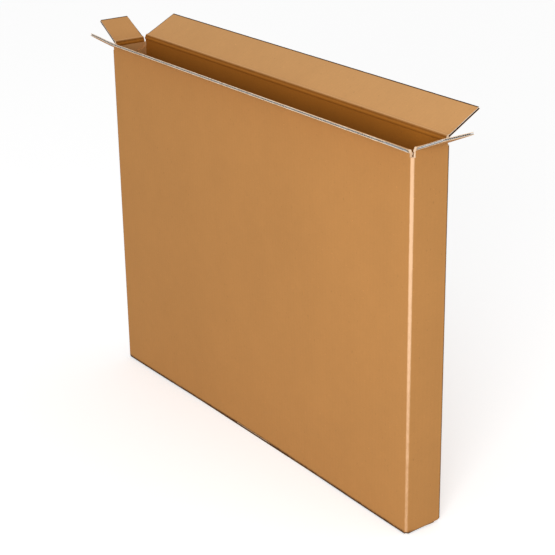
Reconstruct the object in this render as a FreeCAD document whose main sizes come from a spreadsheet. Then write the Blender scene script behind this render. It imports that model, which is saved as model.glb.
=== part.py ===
import FreeCAD, Part
import Sketcher
import math
import os

# A slim upright carton of single-wall corrugated board, open at the top, its four top flaps folded out.
# Frame: X runs along the length, Y through the depth with the front at -Y, and Z is up.
# The origin is the middle of the base, on the surface that the carton stands on.
# The walls, the glue tab and the closed base flaps are one folded sheet. Each top flap is a piece of its own,
# because it turns about its score line. The front flap closes first, then the short ones, then the rear one.
# Each wall is scored one layer of board above the one that closes before it.

# Driving sizes in millimetres and degrees: name, value, what it is
SIZES = [
    ("carton_length", 828.0, "outside length, along X"),
    ("carton_depth", 70.0, "outside depth, along Y"),
    ("front_height", 606.0, "front score line above the floor"),
    ("board_thickness", 4.0, "single-wall board, liner to liner"),
    ("layer_clearance", 0.3, "air between closed flaps that lie on each other"),
    ("hinge_offset", 0.15, "score axis outside the wall's outer face"),
    ("mitre_clearance", 0.3, "air between a wall's mitre and its flap's mitre"),
    ("corner_radius", 5.0, "outside radius of the upright folds"),
    ("crease_bead", 2.5, "inside radius that the crease bead fills at the upright folds"),
    ("fold_radius", 3.0, "outside radius of the folds round the base"),
    ("slot_half_width", 5.5, "how far a corner slot cuts into a long wall"),
    ("slot_depth", 6.0, "top slots run this far below the front score"),
    ("base_slot_depth", 5.0, "base slots run this far above their long wall's fold"),
    ("short_flap_clearance", 2.0, "air at each side of a short flap between the long walls"),
    ("short_flap_taper", 1.5, "what each side of a short flap loses at its free edge"),
    ("front_flap_length", 53.0, "score to free edge"),
    ("rear_flap_length", 67.0, "score to free edge"),
    ("short_flap_length", 61.0, "score to free edge, left and right"),
    ("front_rest_angle", 26.0, "above level, folded out"),
    ("rear_rest_angle", 29.5, "above level, folded out"),
    ("left_rest_angle", 30.0, "above level, folded out"),
    ("right_rest_angle", 24.5, "above level, folded out"),
    ("base_flap_length", 60.0, "closed base flaps of the long walls"),
    ("base_short_flap_length", 63.0, "closed base flaps of the short walls"),
    ("tab_width", 18.0, "glue tab inside the left wall"),
    ("tab_thickness", 3.0, "glue tab, a little crushed"),
    ("tab_top_gap", 8.0, "tab ends this far below the left flap's closed underside"),
    ("tab_slant", 6.0, "how far the tab's trimmed ends slant"),
    ("flute_pitch", 7.8, "one wave of the medium"),
    ("liner_thickness", 0.5, "each facing sheet"),
    ("medium_thickness", 0.5, "wavy sheet where it meets a liner"),
    ("medium_web", 0.8, "wavy sheet between crests, measured along the board"),
    ("flute_tip", 0.6, "half of a channel's narrow side"),
    ("crushed_band", 5.0, "flutes are crushed this far past the mitre"),
]

CUT_MARGIN = 2.0      # how far a cutting outline reaches past the board it cuts
SAME = 0.01           # places or directions that differ by less than this are the same
LEAST_CUT = 1.0       # cubic millimetres that every pocket takes away at least


class Formula:
    """A number together with the sheet formula that gives it."""

    def __init__(self, value, text=None):
        self.value = value
        self.text = repr(value) if text is None else text

    def joined(self, sign, other, value, swap=False):
        pair = (other.text, self.text) if swap else (self.text, other.text)
        return Formula(value, "(%s %s %s)" % (pair[0], sign, pair[1]))

    def __add__(self, other):
        other = formula(other)
        return self.joined("+", other, self.value + other.value)

    def __sub__(self, other):
        other = formula(other)
        return self.joined("-", other, self.value - other.value)

    def __rsub__(self, other):
        other = formula(other)
        return self.joined("-", other, other.value - self.value, swap=True)

    def __mul__(self, other):
        other = formula(other)
        return self.joined("*", other, self.value * other.value)

    def __truediv__(self, other):
        other = formula(other)
        return self.joined("/", other, self.value / other.value)

    def __neg__(self):
        return self * -1

    __radd__ = __add__
    __rmul__ = __mul__

    def whole(self):
        return Formula(math.floor(self.value), "floor(%s)" % self.text)


def formula(value):
    return value if isinstance(value, Formula) else Formula(float(value))


# Spreadsheet of driving sizes
doc = FreeCAD.newDocument("Carton")
sheet = doc.addObject("Spreadsheet::Sheet", "Sizes")
for row, (alias, value, note) in enumerate(SIZES, start=1):
    sheet.set("A%d" % row, alias)
    sheet.set("B%d" % row, str(value))
    sheet.set("C%d" % row, note)
    sheet.setAlias("B%d" % row, alias)
doc.recompute()


def size(alias):
    """Gives a driving size as a formula on the sheet."""
    return Formula(float(sheet.get(alias)), "Sizes." + alias)


# Sizes that several pieces share
board = size("board_thickness")
half_length = size("carton_length") / 2
half_depth = size("carton_depth") / 2
layer = board + size("layer_clearance")
front_score = size("front_height")
short_score = front_score + layer
rear_score = short_score + layer
long_flap_half = half_length - size("slot_half_width")
short_flap_half = half_depth - board - size("short_flap_clearance")


# Sketch and feature helpers
def origin_part(body, role):
    """Gives a body's own origin plane or axis by its role."""
    return next(part for part in body.Origin.OriginFeatures if part.Role == role)


def new_body(name):
    body = doc.addObject("PartDesign::Body", name)
    body.Label = name
    return body


def new_sketch(body, name, role, shift=None):
    """Adds a sketch on one of the body's origin planes, moved along its normal by a formula."""
    sketch = body.newObject("Sketcher::SketchObject", name)
    sketch.AttachmentSupport = [(origin_part(body, role), "")]
    sketch.MapMode = "FlatFace"
    if shift is not None:
        sketch.setExpression("AttachmentOffset.Base.z", shift.text)
    return sketch


def draw_outline(sketch, corners):
    """Draws a closed outline of straight edges, each corner held at its formulas."""
    points = [(formula(x), formula(y)) for x, y in corners]
    count = len(points)
    first = sketch.GeometryCount
    for here in range(count):
        (x0, y0), (x1, y1) = points[here], points[(here + 1) % count]
        start = FreeCAD.Vector(x0.value, y0.value, 0)
        end = FreeCAD.Vector(x1.value, y1.value, 0)
        sketch.addGeometry(Part.LineSegment(start, end), False)
    for here in range(count):
        after = first + (here + 1) % count
        sketch.addConstraint(Sketcher.Constraint("Coincident", first + here, 2, after, 1))
    for here, (x, y) in enumerate(points):
        for kind, place in (("DistanceX", x), ("DistanceY", y)):
            held = sketch.addConstraint(Sketcher.Constraint(kind, -1, 1, first + here, 1, place.value))
            sketch.setExpression("Constraints[%d]" % held, place.text)


def draw_box(sketch, low_x, high_x, low_y, high_y):
    draw_outline(sketch, [(low_x, low_y), (high_x, low_y), (high_x, high_y), (low_x, high_y)])


def add_pad(body, name, sketch, length, both_ways=False):
    pad = body.newObject("PartDesign::Pad", name)
    pad.Profile = sketch
    pad.setExpression("Length", formula(length).text)
    pad.Midplane = both_ways
    doc.recompute()
    return pad


def add_pocket(body, name, sketch, length=None, both_ways=False, turned=False):
    """Cuts a sketch out of the body, through all of it when no length is given, and tests that it cut."""
    before = body.Shape.Volume
    pocket = body.newObject("PartDesign::Pocket", name)
    pocket.Profile = sketch
    if length is None:
        pocket.Type = "ThroughAll"
    else:
        pocket.setExpression("Length", formula(length).text)
    pocket.Midplane = both_ways
    pocket.Reversed = turned
    doc.recompute()
    if body.Shape.Volume > before - LEAST_CUT:
        raise RuntimeError("%s cuts nothing" % name)
    return pocket


def add_fillet(body, name, base, edges, radius):
    fillet = body.newObject("PartDesign::Fillet", name)
    fillet.Base = (base, edges)
    fillet.setExpression("Radius", radius.text)
    doc.recompute()
    return fillet


def straight_edges(shape, wanted):
    """Names a shape's straight edges whose middle point passes the test wanted(middle, direction)."""
    names = []
    for number, edge in enumerate(shape.Edges, start=1):
        if isinstance(edge.Curve, Part.Line) and wanted(edge.CenterOfMass, edge.tangentAt(edge.FirstParameter)):
            names.append("Edge%d" % number)
    return names


def near(one, other):
    return abs(one - other) < SAME


def upright(direction):
    return near(abs(direction.z), 1)


# Carton body: walls, glue tab and closed base
def build_walls(body):
    """Four walls folded round the upright scores, with their outer and inner radii."""
    sketch = new_sketch(body, "wall_plan", "XY_Plane")
    draw_box(sketch, -half_length, half_length, -half_depth, half_depth)
    draw_box(sketch, board - half_length, half_length - board, board - half_depth, half_depth - board)
    walls = add_pad(body, "walls", sketch, rear_score)

    def outer_corner(middle, direction):
        return upright(direction) and near(abs(middle.x), half_length.value)

    def inner_corner(middle, direction):
        return upright(direction) and near(abs(middle.x), (half_length - board).value)

    outer = add_fillet(body, "outer_folds", walls, straight_edges(walls.Shape, outer_corner),
                       size("corner_radius"))
    add_fillet(body, "inner_folds", outer, straight_edges(outer.Shape, inner_corner), size("crease_bead"))


def slope_wall_bottoms(body):
    """The rear wall stands one layer off the floor, so the short walls' lower edges rise to it."""
    inside = half_depth - board
    below = -CUT_MARGIN
    sketch = new_sketch(body, "wall_bottom_section", "YZ_Plane")
    draw_outline(sketch, [(-inside, 0), (-inside, below), (half_depth + CUT_MARGIN, below),
                          (half_depth + CUT_MARGIN, board), (inside, board)])
    add_pocket(body, "wall_bottoms", sketch, both_ways=True)


def build_base(body):
    """Closed base flaps: the front one outermost, the rear one on it, the short ones inside."""
    reach = size("base_flap_length")
    inside = half_length - board
    front = new_sketch(body, "base_front_plan", "XY_Plane")
    draw_box(front, -inside, inside, -half_depth, reach - half_depth)
    add_pad(body, "base_front_flap", front, board)
    rear = new_sketch(body, "base_rear_plan", "XY_Plane", board)
    draw_box(rear, -inside, inside, half_depth - reach, half_depth)
    add_pad(body, "base_rear_flap", rear, board)
    ends = new_sketch(body, "base_short_plan", "XY_Plane", board * 2)
    wall = half_length - board / 2
    inner = inside - size("base_short_flap_length")
    draw_box(ends, -wall, -inner, -short_flap_half, short_flap_half)
    draw_box(ends, inner, wall, -short_flap_half, short_flap_half)
    add_pad(body, "base_short_flaps", ends, board)


def build_glue_tab(body):
    """Glue tab of the rear wall, folded on to the inside of the left wall, its ends cut on a slant."""
    top = short_score - board - size("tab_top_gap")
    bottom = board * 3 + size("layer_clearance")
    root = half_depth - board / 2
    edge = half_depth - board - size("tab_width")
    slant = size("tab_slant")
    sketch = new_sketch(body, "glue_tab_outline", "YZ_Plane", board / 2 - half_length)
    draw_outline(sketch, [(root, bottom), (root, top), (edge, top - slant), (edge, bottom + slant)])
    add_pad(body, "glue_tab", sketch, board / 2 + size("tab_thickness"))


def round_base_folds(body):
    """Rounds the outer edge of each wall's fold at the base."""
    slots = add_base_slots(body)

    def base_fold(middle, direction):
        if upright(direction) or middle.z > board.value + SAME:
            return False
        front = near(middle.y, -half_depth.value) and near(middle.z, 0)
        rear = near(middle.y, half_depth.value) and near(middle.z, board.value)
        return front or rear or near(abs(middle.x), half_length.value)

    add_fillet(body, "base_folds", slots, straight_edges(slots.Shape, base_fold), size("fold_radius"))


def corner_squares(sketch, sides=(-1, 1)):
    """Draws the squares that the corner slots take out of the folded carton, at the front, the rear or both."""
    out_x = half_length + CUT_MARGIN
    out_y = half_depth + CUT_MARGIN
    in_y = short_flap_half + size("layer_clearance")
    for end in (-1, 1):
        for side in sides:
            draw_outline(sketch, [(long_flap_half * end, in_y * side), (out_x * end, in_y * side),
                                  (out_x * end, out_y * side), (long_flap_half * end, out_y * side)])


def add_base_slots(body):
    """The base slots end a little above the fold of the long wall beside them."""
    front = new_sketch(body, "base_front_slot_plan", "XY_Plane", size("base_slot_depth"))
    corner_squares(front, sides=(-1,))
    add_pocket(body, "base_front_slots", front)
    rear = new_sketch(body, "base_rear_slot_plan", "XY_Plane", board + size("base_slot_depth"))
    corner_squares(rear, sides=(1,))
    return add_pocket(body, "base_rear_slots", rear)


def cut_top_slots(body):
    """The slots between the top flaps run a little below the score lines."""
    sketch = new_sketch(body, "top_slot_plan", "XY_Plane", front_score - size("slot_depth"))
    corner_squares(sketch)
    add_pocket(body, "top_slots", sketch, turned=True)


def mitre_outline(face, score, side):
    """Outline that leaves a wall's top mitred at 45 degrees down and inward from its score axis."""
    axis = face + size("hinge_offset")
    inner = face - board - CUT_MARGIN
    top = rear_score + CUT_MARGIN
    corners = [(axis + CUT_MARGIN, score + CUT_MARGIN), (inner, score - (axis - inner)),
               (inner, top + CUT_MARGIN), (axis + CUT_MARGIN, top + CUT_MARGIN)]
    return [(across * side, up) for across, up in corners]


def mitre_wall_tops(body):
    """Cuts each wall off at its own score height."""
    long_walls = new_sketch(body, "long_mitre_section", "YZ_Plane")
    draw_outline(long_walls, mitre_outline(half_depth, front_score, -1))
    draw_outline(long_walls, mitre_outline(half_depth, rear_score, 1))
    add_pocket(body, "long_wall_mitres", long_walls, both_ways=True)
    short_walls = new_sketch(body, "short_mitre_section", "XZ_Plane")
    draw_outline(short_walls, mitre_outline(half_length, short_score, -1))
    draw_outline(short_walls, mitre_outline(half_length, short_score, 1))
    between = (half_depth - board) * 2 - size("short_flap_clearance")
    add_pocket(body, "short_wall_mitres", short_walls, length=between, both_ways=True)


def build_carton_body():
    body = new_body("carton_body")
    build_walls(body)
    slope_wall_bottoms(body)
    build_base(body)
    build_glue_tab(body)
    round_base_folds(body)
    cut_top_slots(body)
    mitre_wall_tops(body)
    return body


# Top flaps
def channel_outlines(middle):
    """The two open channels of one wave, under a crest and over a trough, as seen at a cut edge."""
    pitch = size("flute_pitch")
    liner = size("liner_thickness")
    medium = size("medium_thickness")
    tip = size("flute_tip")
    core = board - liner * 2
    share = (core / 2 - medium) / (core - medium)
    base = tip + (pitch / 2 - tip * 2 - size("medium_web")) / (share * 2)
    low = liner
    high = board - liner
    under = middle - pitch / 4
    over = middle + pitch / 4
    return [
        [(under - base, low), (under + base, low), (under + tip, high - medium), (under - tip, high - medium)],
        [(over - tip, low + medium), (over + tip, low + medium), (over + base, high), (over - base, high)],
    ]


def build_flap(name, along, side, length, half_width, taper, hinge, axis, rest_angle):
    """One top flap in its own frame, the score axis through the origin, then set at its rest angle.

    along is "Y" for a long wall's flap and "X" for a short wall's, and side is the way it points.
    The outer liner lies in the plane Z = 0, so the flap folds flat against the wall.
    """
    body = new_body(name)
    body.Placement = FreeCAD.Placement(FreeCAD.Vector(), FreeCAD.Rotation(axis, rest_angle.value))
    for letter, place in zip("xyz", hinge):
        body.setExpression("Placement.Base." + letter, formula(place).text)
    body.setExpression("Placement.Rotation.Angle", rest_angle.text)
    long_wall = along == "Y"
    section_plane, edge_plane = ("YZ_Plane", "XZ_Plane") if long_wall else ("XZ_Plane", "YZ_Plane")
    gap = size("mitre_clearance")
    section = new_sketch(body, name + "_section", section_plane)
    draw_outline(section, [(gap * side, 0), (length * side, 0), (length * side, board),
                           ((board + gap) * side, board)])
    add_pad(body, name + "_board", section, half_width * 2, both_ways=True)
    if taper is not None:
        trim_sides(body, name, side, length, half_width, taper)
    # An origin plane's normal is -Y for XZ and +X for YZ, so the shift and the way of the cut follow from it
    normal = -1 if long_wall else 1
    edge = new_sketch(body, name + "_edge", edge_plane, length * (side * normal))
    free_half = half_width if taper is None else half_width - taper
    pitch = size("flute_pitch")
    waves = (free_half * 2 / pitch).whole()
    for outline in channel_outlines(-(waves - 1) * pitch / 2):
        draw_outline(edge, outline)
    depth = length - gap - board - size("crushed_band")
    channels = add_pocket(body, name + "_channels", edge, length=depth, turned=side != normal)
    pattern = body.newObject("PartDesign::LinearPattern", name + "_flutes")
    pattern.Originals = [channels]
    pattern.Direction = (origin_part(body, "X_Axis" if long_wall else "Y_Axis"), [""])
    pattern.setExpression("Length", ((waves - 1) * pitch).text)
    pattern.setExpression("Occurrences", waves.text)
    pattern.Refine = False
    body.Tip = pattern
    doc.recompute()
    return body


def trim_sides(body, name, side, length, half_width, taper):
    """Narrows a short flap towards its free edge, so that it slips in between the long walls."""
    far = length + CUT_MARGIN
    lost = taper * far / length
    out = half_width + CUT_MARGIN
    sketch = new_sketch(body, name + "_sides", "XY_Plane")
    for way in (-1, 1):
        draw_outline(sketch, [(0, half_width * way), (far * side, (half_width - lost) * way),
                              (far * side, out * way), (0, out * way)])
    add_pocket(body, name + "_taper", sketch, both_ways=True)


def build_flaps():
    axis_x = FreeCAD.Vector(1, 0, 0)
    axis_y = FreeCAD.Vector(0, 1, 0)
    out = size("hinge_offset")
    rear_line = half_depth + out
    end_line = half_length + out
    taper = size("short_flap_taper")
    short_length = size("short_flap_length")
    return [
        build_flap("front_flap", "Y", -1, size("front_flap_length"), long_flap_half, None,
                   (0, -rear_line, front_score), -axis_x, size("front_rest_angle")),
        build_flap("rear_flap", "Y", 1, size("rear_flap_length"), long_flap_half, None,
                   (0, rear_line, rear_score), axis_x, size("rear_rest_angle")),
        build_flap("left_flap", "X", -1, short_length, short_flap_half, taper,
                   (-end_line, 0, short_score), axis_y, size("left_rest_angle")),
        build_flap("right_flap", "X", 1, short_length, short_flap_half, taper,
                   (end_line, 0, short_score), -axis_y, size("right_rest_angle")),
    ]


def check_document():
    """Stops if any object of the document failed."""
    for item in doc.Objects:
        if "Invalid" in item.State or "Error" in item.State:
            raise RuntimeError("%s failed: %s" % (item.Name, item.State))


def write_parts(bodies):
    """Checks each piece and writes it under its own name."""
    os.makedirs("parts", exist_ok=True)
    for body in bodies:
        shape = body.Shape
        if shape.isNull() or not shape.isValid() or len(shape.Solids) != 1:
            raise RuntimeError("%s is not one valid solid" % body.Label)
        shape.exportStep(os.path.join("parts", body.Label + ".step"))
        print("%s: %.0f mm3" % (body.Label, shape.Volume))


pieces = [build_carton_body()] + build_flaps()
check_document()
write_parts(pieces)
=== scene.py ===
"""Dresses a tall, slim corrugated carton that stands open, with its four top flaps folded outwards.

Every size is in metres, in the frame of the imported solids: the length runs along X, the depth along Y,
the front panel faces -Y and the carton stands on Z = 0.
"""

import logging
import math
from dataclasses import dataclass, field
from enum import Enum
from typing import Any

import bmesh
import bpy
import numpy as np
from mathutils import Matrix, Vector


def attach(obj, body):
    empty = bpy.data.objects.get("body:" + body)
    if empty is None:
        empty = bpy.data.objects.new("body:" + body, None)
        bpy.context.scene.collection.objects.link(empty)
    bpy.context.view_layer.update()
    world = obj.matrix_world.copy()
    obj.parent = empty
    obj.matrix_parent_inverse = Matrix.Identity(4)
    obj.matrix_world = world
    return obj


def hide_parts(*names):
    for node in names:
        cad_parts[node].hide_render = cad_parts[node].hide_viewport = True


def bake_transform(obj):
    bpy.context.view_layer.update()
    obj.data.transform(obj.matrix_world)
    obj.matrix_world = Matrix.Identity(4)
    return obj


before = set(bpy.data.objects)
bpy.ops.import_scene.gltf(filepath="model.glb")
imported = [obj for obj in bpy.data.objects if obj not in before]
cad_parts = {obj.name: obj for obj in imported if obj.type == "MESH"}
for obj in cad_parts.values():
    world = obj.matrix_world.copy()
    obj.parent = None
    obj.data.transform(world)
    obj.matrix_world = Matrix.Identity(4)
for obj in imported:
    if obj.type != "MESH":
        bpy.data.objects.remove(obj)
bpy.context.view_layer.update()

Triple = tuple[float, float, float]
Colour = tuple[float, float, float, float]
Columns = tuple[np.ndarray, np.ndarray, np.ndarray]
LOG = logging.getLogger("carton")
MM = 0.001
PITCH = 7.8 * MM
BOARD = 4.0 * MM
LINER = 0.55 * MM
WHITE = (1.0, 1.0, 1.0, 1.0)


class Wall(Enum):
    """The four upright panels, in the order of a walk round the carton seen from above."""

    FRONT = 0
    RIGHT = 1
    REAR = 2
    LEFT = 3


class Coat(Enum):
    """Which finish a face of a board piece takes, by its place in the piece's list of materials."""

    OUTSIDE = 0
    INSIDE = 1
    CUT = 2
    HOLLOW = 3


def srgb(red: float, green: float, blue: float) -> Colour:
    """Turns a colour as a screen shows it, 0 to 255, into the linear colour that a shader takes.

    Args:
        red: Red, 0 to 255.
        green: Green, 0 to 255.
        blue: Blue, 0 to 255.

    Returns:
        The linear colour with an alpha of 1.
    """
    linear = []
    for part in (red, green, blue):
        share = part / 255
        linear.append(share / 12.92 if share <= 0.04045 else ((share + 0.055) / 1.055) ** 2.4)
    return (linear[0], linear[1], linear[2], 1.0)


def smooth(low: float, high: float, value: np.ndarray) -> np.ndarray:
    """Goes smoothly from 0 at low to 1 at high.

    Args:
        low: Value where the result leaves 0.
        high: Value where the result reaches 1.
        value: The values to turn.

    Returns:
        The result for each value.
    """
    share = np.clip((value - low) / (high - low), 0.0, 1.0)
    return share * share * (3.0 - 2.0 * share)


def wear_and_shade(like: np.ndarray, paleness: Any = 0.0, dark: Any = 0.0, deep: Any = 0.0) -> np.ndarray:
    """Says how each point of a grid is marked: paled and darkened by use, and by painted highlight and painted
    shade.

    Args:
        like: A grid of values with the shape that the result takes.
        paleness: How pale the paper is, from rubbing and stretching at folds and from painted highlight along
            the crease ridges, 0 to 1.
        dark: How dark the paper is, 0 to 1: darkened edges, and painted shade along the foot and below the
            crease ridges.
        deep: How far the paper takes the painted shade colour of the carton's inside, 0 to 1.

    Returns:
        The three values for each point.
    """
    parts = [np.broadcast_to(part, like.shape) for part in (paleness, dark, deep)]
    return np.stack(parts, axis=-1).astype(float)


def ridge(value: Any, at: float, width: float) -> Any:
    """Gives a soft line: 1 where the value is at its middle, fading over its width."""
    return np.exp(-(((value - at) / width) ** 2))


def add_object(name: str, data: Any) -> bpy.types.Object:
    """Puts a new object into the scene.

    Args:
        name: Its name.
        data: Its mesh, lamp or camera data.

    Returns:
        The object.
    """
    made = bpy.data.objects.new(name, data)
    bpy.context.scene.collection.objects.link(made)
    return made


@dataclass(frozen=True)
class Grain:
    """A noise pattern: its scale, detail and roughness, and how it is drawn out along each axis."""

    scale: float
    detail: float
    rough: float
    stretch: Triple = (1.0, 1.0, 1.0)


CLOUD = Grain(7.0, 4.0, 0.6, (1.0, 0.6, 1.0))
BLOTCH = Grain(38.0, 3.0, 0.6)
FIBRES = Grain(620.0, 3.0, 0.6, (1.0, 0.16, 1.0))
STRANDS = Grain(480.0, 2.0, 0.5, (0.22, 1.0, 1.0))
PALE_SPOTS = Grain(330.0, 1.0, 0.4, (0.6, 1.0, 1.0))
DARK_SPOTS = Grain(290.0, 1.0, 0.4, (1.0, 0.5, 2.0))
TORN_FIBRES = Grain(900.0, 3.0, 0.7)
TORN_PATCH = Grain(90.0, 2.0, 0.5)
COARSE_PAPER = Grain(420.0, 4.0, 0.65)
COARSE_PATCH = Grain(60.0, 2.0, 0.5)


class Term:
    """An output of a shader node that takes part in sums written as Python expressions."""

    def __init__(self, paint: "Paint", socket: Any) -> None:
        """Keeps the socket and the node builder that owns it."""
        self.paint = paint
        self.socket = socket

    def _math(self, operation: str, *values: Any) -> "Term":
        """Adds a Math node of that operation and returns its output."""
        return self.paint.node("ShaderNodeMath", {"operation": operation}, list(values))["Value"]

    def __add__(self, other: Any) -> "Term":
        """Sum."""
        return self._math("ADD", self, other)

    def __radd__(self, other: Any) -> "Term":
        """Sum with the term on the right."""
        return self._math("ADD", other, self)

    def __sub__(self, other: Any) -> "Term":
        """Difference."""
        return self._math("SUBTRACT", self, other)

    def __rsub__(self, other: Any) -> "Term":
        """Difference with the term on the right."""
        return self._math("SUBTRACT", other, self)

    def __mul__(self, other: Any) -> "Term":
        """Product."""
        return self._math("MULTIPLY", self, other)

    def __rmul__(self, other: Any) -> "Term":
        """Product with the term on the right."""
        return self._math("MULTIPLY", other, self)

    def sine(self) -> "Term":
        """The term's sine."""
        return self._math("SINE", self)

    def above(self, low: float, high: float) -> "Term":
        """Goes smoothly from 0 to 1.

        Args:
            low: Value of the term where the result leaves 0.
            high: Value of the term where the result reaches 1.

        Returns:
            The result.
        """
        values = {"Value": self, "From Min": low, "From Max": high}
        return self.paint.node("ShaderNodeMapRange", {"interpolation_type": "SMOOTHSTEP"}, values)["Result"]


class Outputs:
    """The outputs of one node, read by name as terms."""

    def __init__(self, paint: "Paint", made: Any) -> None:
        """Keeps the node and its builder."""
        self.paint = paint
        self.made = made

    def __getitem__(self, name: str) -> Term:
        """The output with that name, the first that is in use."""
        found = [s for s in self.made.outputs if s.name == name and s.enabled]
        return Term(self.paint, found[0])


class Paint:
    """Builds the node tree of a material or a world."""

    def __init__(self, owner: Any) -> None:
        """Starts an empty tree.

        Args:
            owner: The material or world that the tree belongs to.
        """
        owner.use_nodes = True
        self.tree = owner.node_tree
        self.tree.nodes.clear()

    def node(self, kind: str, settings: dict[str, Any] | None = None, values: Any = None) -> Outputs:
        """Adds a node, sets it up and fills its inputs.

        Args:
            kind: The node's type.
            settings: Its own settings, set before its inputs.
            values: Numbers, colours or terms for its inputs, by name or as a list in order.

        Returns:
            The node's outputs.
        """
        made = self.tree.nodes.new(kind)
        for key, value in (settings or {}).items():
            setattr(made, key, value)
        if isinstance(values, dict):
            pairs = [(self._input(made, key), value) for key, value in values.items()]
        else:
            pairs = list(zip([s for s in made.inputs if s.enabled], values or []))
        for socket, value in pairs:
            if isinstance(value, Term):
                self.tree.links.new(value.socket, socket)
            else:
                socket.default_value = value
        return Outputs(self, made)

    @staticmethod
    def _input(made: Any, name: str) -> Any:
        """The node's input of that name that is in use."""
        return [s for s in made.inputs if s.name == name and s.enabled][0]

    def mix(self, factor: Any, first: Any, second: Any) -> Term:
        """Mixes two colours.

        Args:
            factor: How much of the second colour shows.
            first: The first colour.
            second: The second colour.

        Returns:
            The mixed colour.
        """
        settings = {"data_type": "RGBA", "clamp_factor": True}
        return self.node("ShaderNodeMix", settings, {"Factor": factor, "A": first, "B": second})["Result"]

    def noise(self, place: Term, grain: Grain) -> Term:
        """Adds noise.

        Args:
            place: Where it is read.
            grain: Its pattern.

        Returns:
            The noise, 0 to 1.
        """
        drawn = self.node("ShaderNodeVectorMath", {"operation": "MULTIPLY"}, [place, grain.stretch])["Vector"]
        values = {"Vector": drawn, "Scale": grain.scale, "Detail": grain.detail, "Roughness": grain.rough}
        return self.node("ShaderNodeTexNoise", None, values)["Fac"]

    def finish(self, colour: Any, roughness: Any, height: Term, distance: float, specular: float) -> None:
        """Ends the material with a plain surface and a bump.

        Args:
            colour: The base colour.
            roughness: The roughness.
            height: The bump's height, 0 to 1.
            distance: The bump's height in metres.
            specular: The specular level.
        """
        bump = self.node("ShaderNodeBump", None, {"Strength": 1.0, "Distance": distance, "Height": height})
        values = {"Base Color": colour, "Roughness": roughness, "Normal": bump["Normal"]}
        values["Specular IOR Level"] = specular
        surface = self.node("ShaderNodeBsdfPrincipled", None, values)
        self.node("ShaderNodeOutputMaterial", None, {"Surface": surface["BSDF"]})


@dataclass(frozen=True)
class Finish:
    """One material, drawn by its kind of finish."""

    name: str

    def make(self) -> bpy.types.Material:
        """Builds the material.

        Returns:
            The material.
        """
        material = bpy.data.materials.new(self.name)
        self.draw(Paint(material))
        return material

    def draw(self, paint: Paint) -> None:
        """Fills the node tree."""
        raise NotImplementedError


@dataclass(frozen=True)
class LinerFinish(Finish):
    """The smooth kraft paper that faces the board, with its fibres, flecks and faint flute lines.

    The pattern lies on the sheet itself: the attribute "sheet" holds the place on the flat paper, across the
    flutes in X and along them in Y. A second attribute says how pale a place is, from rubbing at the folds and
    from painted highlight along the crease ridges; how dark it is, at darkened edges and as painted shade along
    the foot and below the crease ridges; and how far it takes the painted shade colour of the carton's inside.
    """

    colour: Colour
    fold_colour: Colour
    inside_shade_colour: Colour
    shade_and_edge_colour: Colour
    mottle: float = 0.07
    fibre: float = 0.09
    fleck: float = 0.15
    washboard: float = 0.012
    relief: float = 0.12 * MM
    specular: float = 0.12

    def draw(self, paint: Paint) -> None:
        """Draws the paper's tone, its worn places and its relief.

        Args:
            paint: The builder of its node tree.
        """
        place, worn_and_shaded = (
            paint.node("ShaderNodeAttribute", {"attribute_name": name})["Vector"] for name in ("sheet", "wear_and_shade")
        )
        parts = paint.node("ShaderNodeSeparateXYZ", None, [worn_and_shaded])
        across = paint.node("ShaderNodeSeparateXYZ", None, [place])["X"]
        flute = (across * (2.0 * math.pi / PITCH)).sine()
        fibres, strands = paint.noise(place, FIBRES), paint.noise(place, STRANDS)
        cloudy, blotchy = paint.noise(place, CLOUD) - 0.5, paint.noise(place, BLOTCH) - 0.5
        fibrous = fibres - 0.5
        pale_spot = paint.noise(place, PALE_SPOTS).above(0.71, 0.80)
        dark_spot = paint.noise(place, DARK_SPOTS).above(0.70, 0.80)
        tone = cloudy * self.mottle * 2.0 + blotchy * self.mottle
        tone = tone + fibrous * self.fibre + (strands - 0.5) * self.fibre * 0.7
        tone = tone + flute * self.washboard * 0.5
        tone = tone + pale_spot * self.fleck - dark_spot * self.fleck

        def frayed(amount: Term, by_fibres: float, by_blotches: float) -> Term:
            """Breaks each pale, darkened and shaded place up along the fibres and blotches."""
            return amount * (fibrous * by_fibres + blotchy * by_blotches + 1.0)

        # Painted shade colour of the inside first, then pale folds and the painted highlight on the crease
        # ridges, then painted shade along the foot and below the ridges, and darkened edges.
        colour = paint.mix(parts["Z"], self.colour, self.inside_shade_colour)
        colour = paint.mix(frayed(parts["X"], 0.9, 0.5).above(0.15, 0.85), colour, self.fold_colour)
        colour = paint.mix(frayed(parts["Y"], 1.2, 0.8).above(0.1, 0.9), colour, self.shade_and_edge_colour)
        values = {"Vector": colour, "Scale": tone + 1.0}
        colour = paint.node("ShaderNodeVectorMath", {"operation": "SCALE"}, values)["Vector"]
        height = flute * 0.12 + fibres * 0.5 + strands * 0.28
        paint.finish(colour, 0.80 + fibrous * 0.12, height, self.relief, self.specular)


@dataclass(frozen=True)
class CutFinish(Finish):
    """The raw edge that the knife leaves on a liner: pale, fibrous and a little torn."""

    colour: Colour
    shade: Colour
    roughness: float = 0.92
    relief: float = 0.2 * MM

    def draw(self, paint: Paint) -> None:
        """Draws the torn fibres.

        Args:
            paint: The builder of its node tree.
        """
        place = paint.node("ShaderNodeTexCoord")["Object"]
        torn, patch = paint.noise(place, TORN_FIBRES), paint.noise(place, TORN_PATCH)
        colour = paint.mix((torn * 0.7 + patch * 0.5 - 0.1).above(0.25, 0.75), self.shade, self.colour)
        paint.finish(colour, self.roughness, torn, self.relief, 0.0)


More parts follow.
